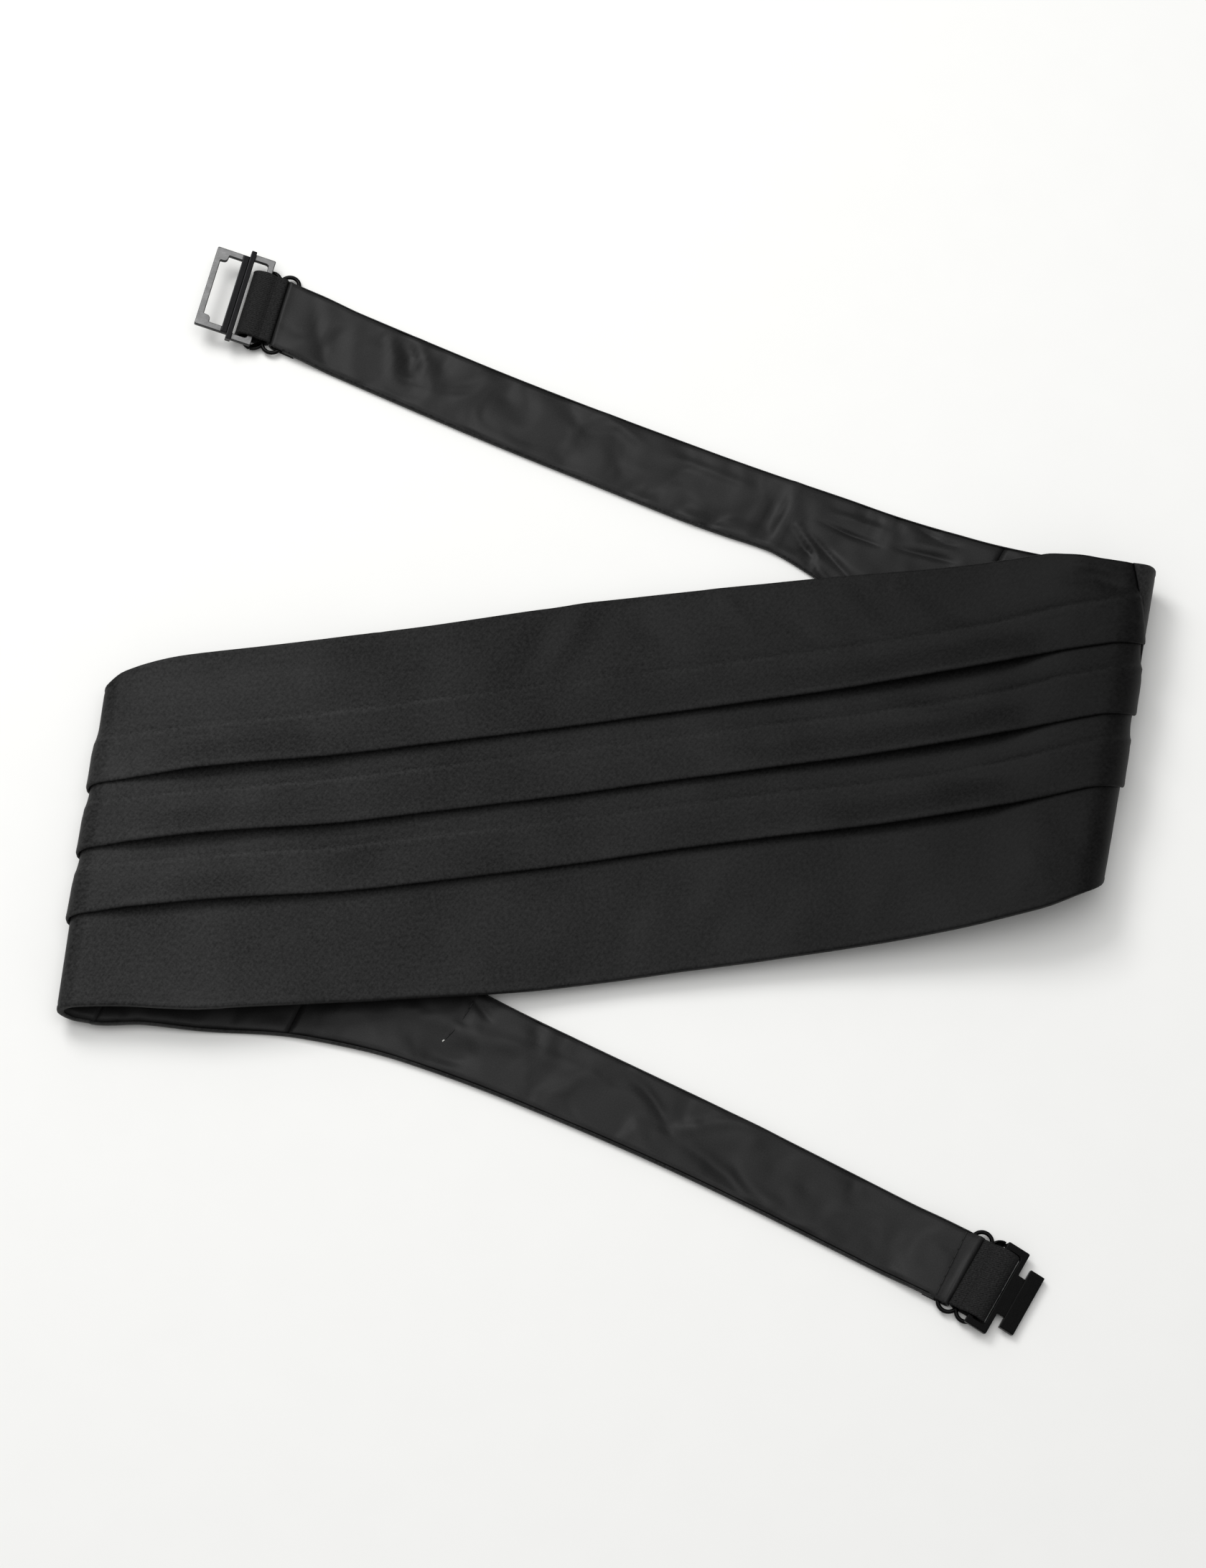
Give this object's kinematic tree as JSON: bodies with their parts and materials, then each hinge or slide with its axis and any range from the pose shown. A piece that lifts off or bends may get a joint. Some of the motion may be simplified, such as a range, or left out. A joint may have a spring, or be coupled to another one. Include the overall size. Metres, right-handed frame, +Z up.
{
  "type": "cummerbund",
  "caption": "Black satin waist sash for evening dress: pleated front, tapered tails, adjustable elastic strap and a hook-and-window buckle, laid in a loose Z fold.",
  "frame": {"origin": "centre of the whole object's box, at the surface it lies on", "axes": "+Z up from that surface, +X along the pleated front towards its right-hand end, +Y towards the front's upper edge"},
  "size_m": [0.331, 0.348, 0.0232],
  "materials": {
    "black_satin": "satin weave, soft sheen",
    "black_lining": "smooth lining, soft sheen",
    "black_elastic": "ribbed elastic webbing, matt",
    "black_enamel": "glossy black enamel on wire and plate",
    "dark_plating": "dark plated metal, pale brushed faces"
  },
  "bodies": {
    "sash": {"pleated_front": "black_satin", "front_lining": "black_lining", "tail_left": "black_satin", "tail_facing_left": "black_lining", "tail_lining_left": "black_lining", "tail_right": "black_satin", "tail_facing_right": "black_lining", "tail_lining_right": "black_lining", "elastic_left": "black_elastic", "elastic_right": "black_elastic", "slider_left": "black_enamel", "slider_right": "black_enamel"},
    "hook": {"hook": "black_enamel"},
    "receiver": {"receiver": "dark_plating"}
  },
  "joints": [
    {"name": "hook_swing", "type": "hinge", "parent": "sash", "child": "hook", "pos_m": [0.10934, -0.1589, 0.0042], "axis": [-0.5, -0.866, 0], "range_deg": [0, 120]},
    {"name": "receiver_swing", "type": "hinge", "parent": "sash", "child": "receiver", "pos_m": [-0.11081, 0.15648, 0.0042], "axis": [0.2504, 0.9681, 0], "range_deg": [-20, 120]}
  ]
}
